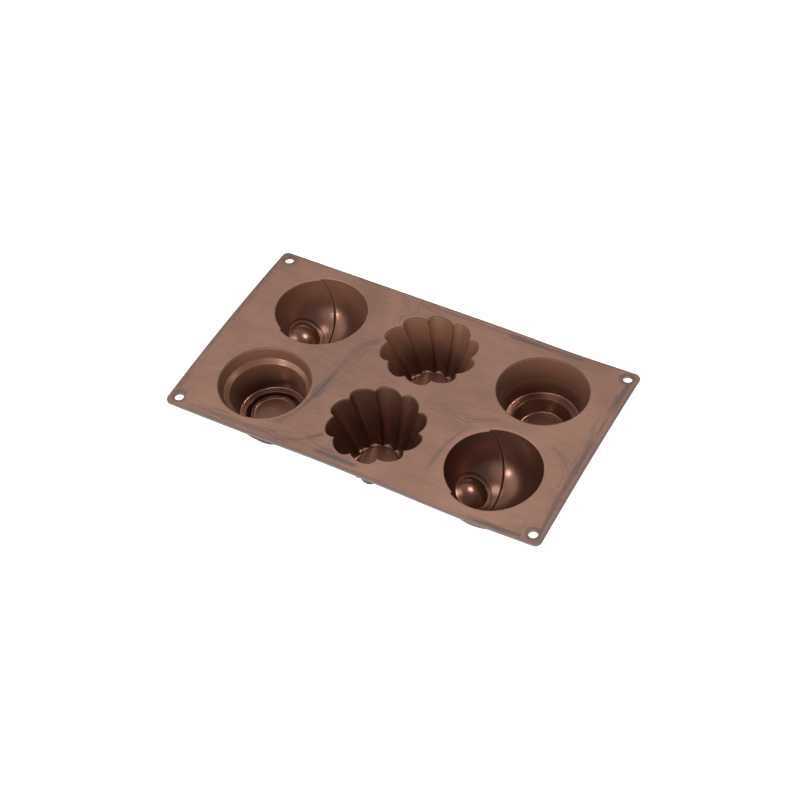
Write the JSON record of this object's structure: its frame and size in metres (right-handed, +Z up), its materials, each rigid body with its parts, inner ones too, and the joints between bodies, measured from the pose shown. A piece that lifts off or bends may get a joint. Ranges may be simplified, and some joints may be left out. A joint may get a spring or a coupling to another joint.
{
  "type": "silicone baking mould",
  "caption": "Flat flexible tray with deep moulding cups of three shapes, bauble, fluted and stepped, and a hanging hole in each corner.",
  "frame": {"origin": "centre of the footprint, on the plane that the cups stand on", "axes": "+X along the long side, +Y from the front row of cups to the back row, +Z up out of the mouths"},
  "size_m": [0.3, 0.175, 0.045],
  "materials": {
    "silicone_sheet": "satin bronze silicone with mica streaks",
    "silicone_cup": "semi-gloss copper brown silicone"
  },
  "bodies": {
    "root": {"deck_sheet": "silicone_sheet", "bauble_cup_back_left": "silicone_cup", "fluted_cup_back": "silicone_cup", "well_cup_back_right": "silicone_cup", "collar_cup_front_left": "silicone_cup", "fluted_cup_front": "silicone_cup", "bauble_cup_front_right": "silicone_cup"}
  },
  "joints": []
}
